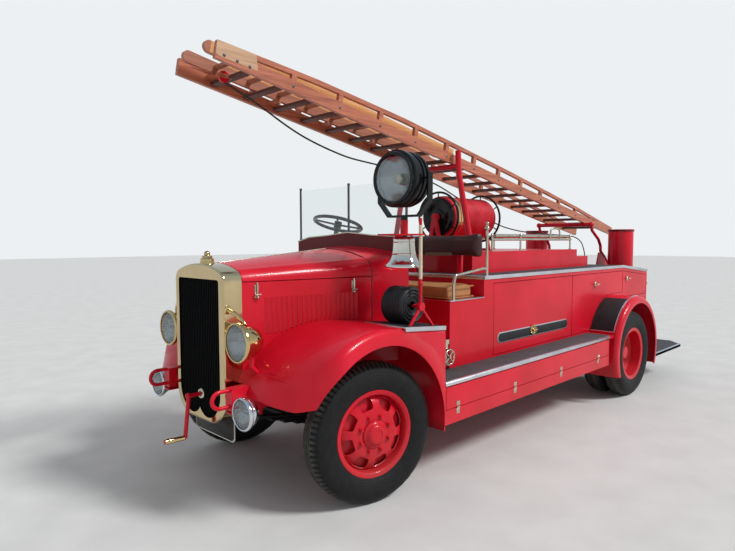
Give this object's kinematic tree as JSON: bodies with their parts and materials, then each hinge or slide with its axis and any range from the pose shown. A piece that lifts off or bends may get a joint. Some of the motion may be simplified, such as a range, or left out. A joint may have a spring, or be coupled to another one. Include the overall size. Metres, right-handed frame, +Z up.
{
  "type": "fire engine",
  "caption": "Open fire engine with a long bonnet, bench seat, locker body, twin rear wheels, hose reel, searchlight, bell and a trussed extension ladder on top.",
  "frame": {"origin": "on the ground under the middle of the overall length and width", "axes": "+X forward, +Y to the vehicle's left, +Z up"},
  "size_m": [6.3605, 2.1, 2.8493],
  "materials": {
    "red_paint": "gloss",
    "black_paint": "gloss",
    "dark_paint": "satin",
    "nickel": "polished",
    "brass": "polished",
    "bell_metal": "polished",
    "tyre": "matte",
    "hose_rubber": "matte",
    "board_metal": "satin",
    "maroon_leather": "satin",
    "tan_leather": "satin",
    "ladder_wood": "gloss",
    "fly_wood": "satin",
    "clear_glass": "clear",
    "core": "matte",
    "rope": "matte"
  },
  "bodies": {
    "vehicle": {"bell": "bell_metal", "body_shell": "red_paint", "bonnet_sides": "red_paint", "chassis_frame": "dark_paint", "cross_members": "dark_paint", "deck_box": "red_paint", "engine_block": "dark_paint", "front_axle": "dark_paint", "front_wings": "red_paint", "gallows": "red_paint", "hose_stand": "red_paint", "ladder_main": "ladder_wood", "lamp_bracket": "nickel", "lamps": "brass", "leaf_springs": "dark_paint", "radiator_core": "core", "radiator_shell": "nickel", "rear_axle": "dark_paint", "rear_bracket": "red_paint", "pipework": "nickel", "hauling_rope": "rope", "rear_drums": "red_paint", "rear_step": "board_metal", "rear_wings": "red_paint", "running_boards": "red_paint", "scuttle": "red_paint", "seat_back": "maroon_leather", "seat_cushion": "tan_leather", "steering_column": "black_paint", "suction_hose": "hose_rubber", "windscreen": "clear_glass"},
    "knuckle_left": {"knuckle_left": "dark_paint"},
    "knuckle_right": {"knuckle_right": "dark_paint"},
    "front_wheel_left": {"front_wheel_left": "red_paint", "front_tyre_left": "tyre"},
    "front_wheel_right": {"front_wheel_right": "red_paint", "front_tyre_right": "tyre"},
    "rear_wheels_left": {"rear_wheels_left": "red_paint", "rear_tyres_left": "tyre"},
    "rear_wheels_right": {"rear_wheels_right": "red_paint", "rear_tyres_right": "tyre"},
    "tie_rod": {"tie_rod": "dark_paint"},
    "drop_arm": {"drop_arm": "dark_paint"},
    "drag_link": {"drag_link": "dark_paint"},
    "steering_wheel": {"steering_wheel": "black_paint"},
    "hose_reel": {"hose_reel": "red_paint"},
    "crank": {"crank": "nickel"},
    "bonnet_lid_left": {"bonnet_lid_left": "red_paint"},
    "bonnet_lid_right": {"bonnet_lid_right": "red_paint"},
    "searchlight_yoke": {"searchlight_yoke": "nickel"},
    "searchlight_head": {"searchlight_head": "black_paint"},
    "skirt_flap_left": {"skirt_flap_left": "red_paint"},
    "skirt_flap_right": {"skirt_flap_right": "red_paint"},
    "ladder_fly": {"ladder_fly": "fly_wood"},
    "locker_door_left_1": {"locker_door_left_1": "red_paint"},
    "locker_door_left_2": {"locker_door_left_2": "red_paint"},
    "locker_door_left_3": {"locker_door_left_3": "red_paint"},
    "locker_door_right_1": {"locker_door_right_1": "red_paint"},
    "locker_door_right_2": {"locker_door_right_2": "red_paint"},
    "locker_door_right_3": {"locker_door_right_3": "red_paint"}
  },
  "joints": [
    {"name": "steer_left", "type": "hinge", "parent": "vehicle", "child": "knuckle_left", "pos_m": [2.18, 0.69, 0.445], "axis": [0, 0, 1], "range_deg": [-15.9, 38.1]},
    {"name": "steer_right", "type": "hinge", "parent": "vehicle", "child": "knuckle_right", "pos_m": [2.18, -0.69, 0.445], "axis": [0, 0, 1], "range_deg": [-15.9, 38.1]},
    {"name": "tie_rod_pivot", "type": "hinge", "parent": "knuckle_left", "child": "tie_rod", "pos_m": [2.01318, 0.72273, 0.362], "axis": [0, 0, 1], "range_deg": [-38.1, 15.9]},
    {"name": "drop_arm_pivot", "type": "hinge", "parent": "vehicle", "child": "drop_arm", "pos_m": [1.66, -0.43, 0.7312], "axis": [0, 1, 0], "range_deg": [-15.9, 38.1]},
    {"name": "drag_link_pivot", "type": "hinge", "parent": "drop_arm", "child": "drag_link", "pos_m": [1.69908, -0.458, 0.532], "axis": [0, 1, 0], "range_deg": [-38.1, 15.9]},
    {"name": "steering_wheel_turn", "type": "hinge", "parent": "vehicle", "child": "steering_wheel", "pos_m": [1.395, -0.4, 1.79], "axis": [-0.3048, -0.0299, 0.9519], "range_deg": [-190.8, 457.2]},
    {"name": "front_wheel_left_spin", "type": "hinge", "parent": "knuckle_left", "child": "front_wheel_left", "pos_m": [2.18, 0.69, 0.445], "axis": [0.1925, 0.9813, 0], "continuous": true},
    {"name": "front_wheel_right_spin", "type": "hinge", "parent": "knuckle_right", "child": "front_wheel_right", "pos_m": [2.18, -0.69, 0.445], "axis": [0.1925, 0.9813, 0], "continuous": true},
    {"name": "rear_wheels_left_spin", "type": "hinge", "parent": "vehicle", "child": "rear_wheels_left", "pos_m": [-1.54, 0.8, 0.445], "axis": [0, 1, 0], "continuous": true},
    {"name": "rear_wheels_right_spin", "type": "hinge", "parent": "vehicle", "child": "rear_wheels_right", "pos_m": [-1.54, -0.8, 0.445], "axis": [0, 1, 0], "continuous": true},
    {"name": "hose_reel_spin", "type": "hinge", "parent": "vehicle", "child": "hose_reel", "pos_m": [0.182, 0, 1.863], "axis": [1, 0, 0], "continuous": true},
    {"name": "crank_turn", "type": "hinge", "parent": "vehicle", "child": "crank", "pos_m": [2.88, 0, 0.68], "axis": [1, 0, 0], "continuous": true},
    {"name": "bonnet_lid_left_hinge", "type": "hinge", "parent": "vehicle", "child": "bonnet_lid_left", "pos_m": [1.88, 0, 1.588], "axis": [0.9963, 0, -0.0857], "range_deg": [0, 75]},
    {"name": "bonnet_lid_right_hinge", "type": "hinge", "parent": "vehicle", "child": "bonnet_lid_right", "pos_m": [1.88, 0, 1.588], "axis": [-0.9963, 0, 0.0857], "range_deg": [0, 75]},
    {"name": "searchlight_pan", "type": "hinge", "parent": "vehicle", "child": "searchlight_yoke", "pos_m": [1.87, 0.78, 1.8], "axis": [0, 0, 1], "range_deg": [-170, 170]},
    {"name": "searchlight_tilt", "type": "hinge", "parent": "searchlight_yoke", "child": "searchlight_head", "pos_m": [1.87, 0.78, 2.045], "axis": [0, 1, 0], "range_deg": [-60, 35]},
    {"name": "locker_door_left_1_hinge", "type": "hinge", "parent": "vehicle", "child": "locker_door_left_1", "pos_m": [0.06, 0.752, 1.302], "axis": [1, 0, 0], "range_deg": [0, 85]},
    {"name": "locker_door_left_2_hinge", "type": "hinge", "parent": "vehicle", "child": "locker_door_left_2", "pos_m": [-1.245, 0.752, 1.302], "axis": [1, 0, 0], "range_deg": [0, 85]},
    {"name": "locker_door_left_3_hinge", "type": "hinge", "parent": "vehicle", "child": "locker_door_left_3", "pos_m": [-2.572, 0.752, 1.15], "axis": [0, 0, 1], "range_deg": [0, 100]},
    {"name": "skirt_flap_left_hinge", "type": "hinge", "parent": "vehicle", "child": "skirt_flap_left", "pos_m": [0.39, 1.002, 0.516], "axis": [-1, 0, 0], "range_deg": [0, 165]},
    {"name": "locker_door_right_1_hinge", "type": "hinge", "parent": "vehicle", "child": "locker_door_right_1", "pos_m": [0.06, -0.752, 1.302], "axis": [-1, 0, 0], "range_deg": [0, 85]},
    {"name": "locker_door_right_2_hinge", "type": "hinge", "parent": "vehicle", "child": "locker_door_right_2", "pos_m": [-1.245, -0.752, 1.302], "axis": [-1, 0, 0], "range_deg": [0, 85]},
    {"name": "locker_door_right_3_hinge", "type": "hinge", "parent": "vehicle", "child": "locker_door_right_3", "pos_m": [-2.572, -0.752, 1.15], "axis": [0, 0, -1], "range_deg": [0, 100]},
    {"name": "skirt_flap_right_hinge", "type": "hinge", "parent": "vehicle", "child": "skirt_flap_right", "pos_m": [0.39, -1.002, 0.516], "axis": [1, 0, 0], "range_deg": [0, 165]},
    {"name": "ladder_fly_slide", "type": "slide", "parent": "vehicle", "child": "ladder_fly", "axis": [0.9848, 0, 0.1736], "range_m": [0, 2]}
  ],
  "couplings": [
    {"joint": "steer_right", "follows": "steer_left", "ratio": 1},
    {"joint": "tie_rod_pivot", "follows": "steer_left", "ratio": -1},
    {"joint": "drop_arm_pivot", "follows": "steer_left", "ratio": 1},
    {"joint": "drag_link_pivot", "follows": "steer_left", "ratio": -1},
    {"joint": "steering_wheel_turn", "follows": "steer_left", "ratio": 12}
  ]
}
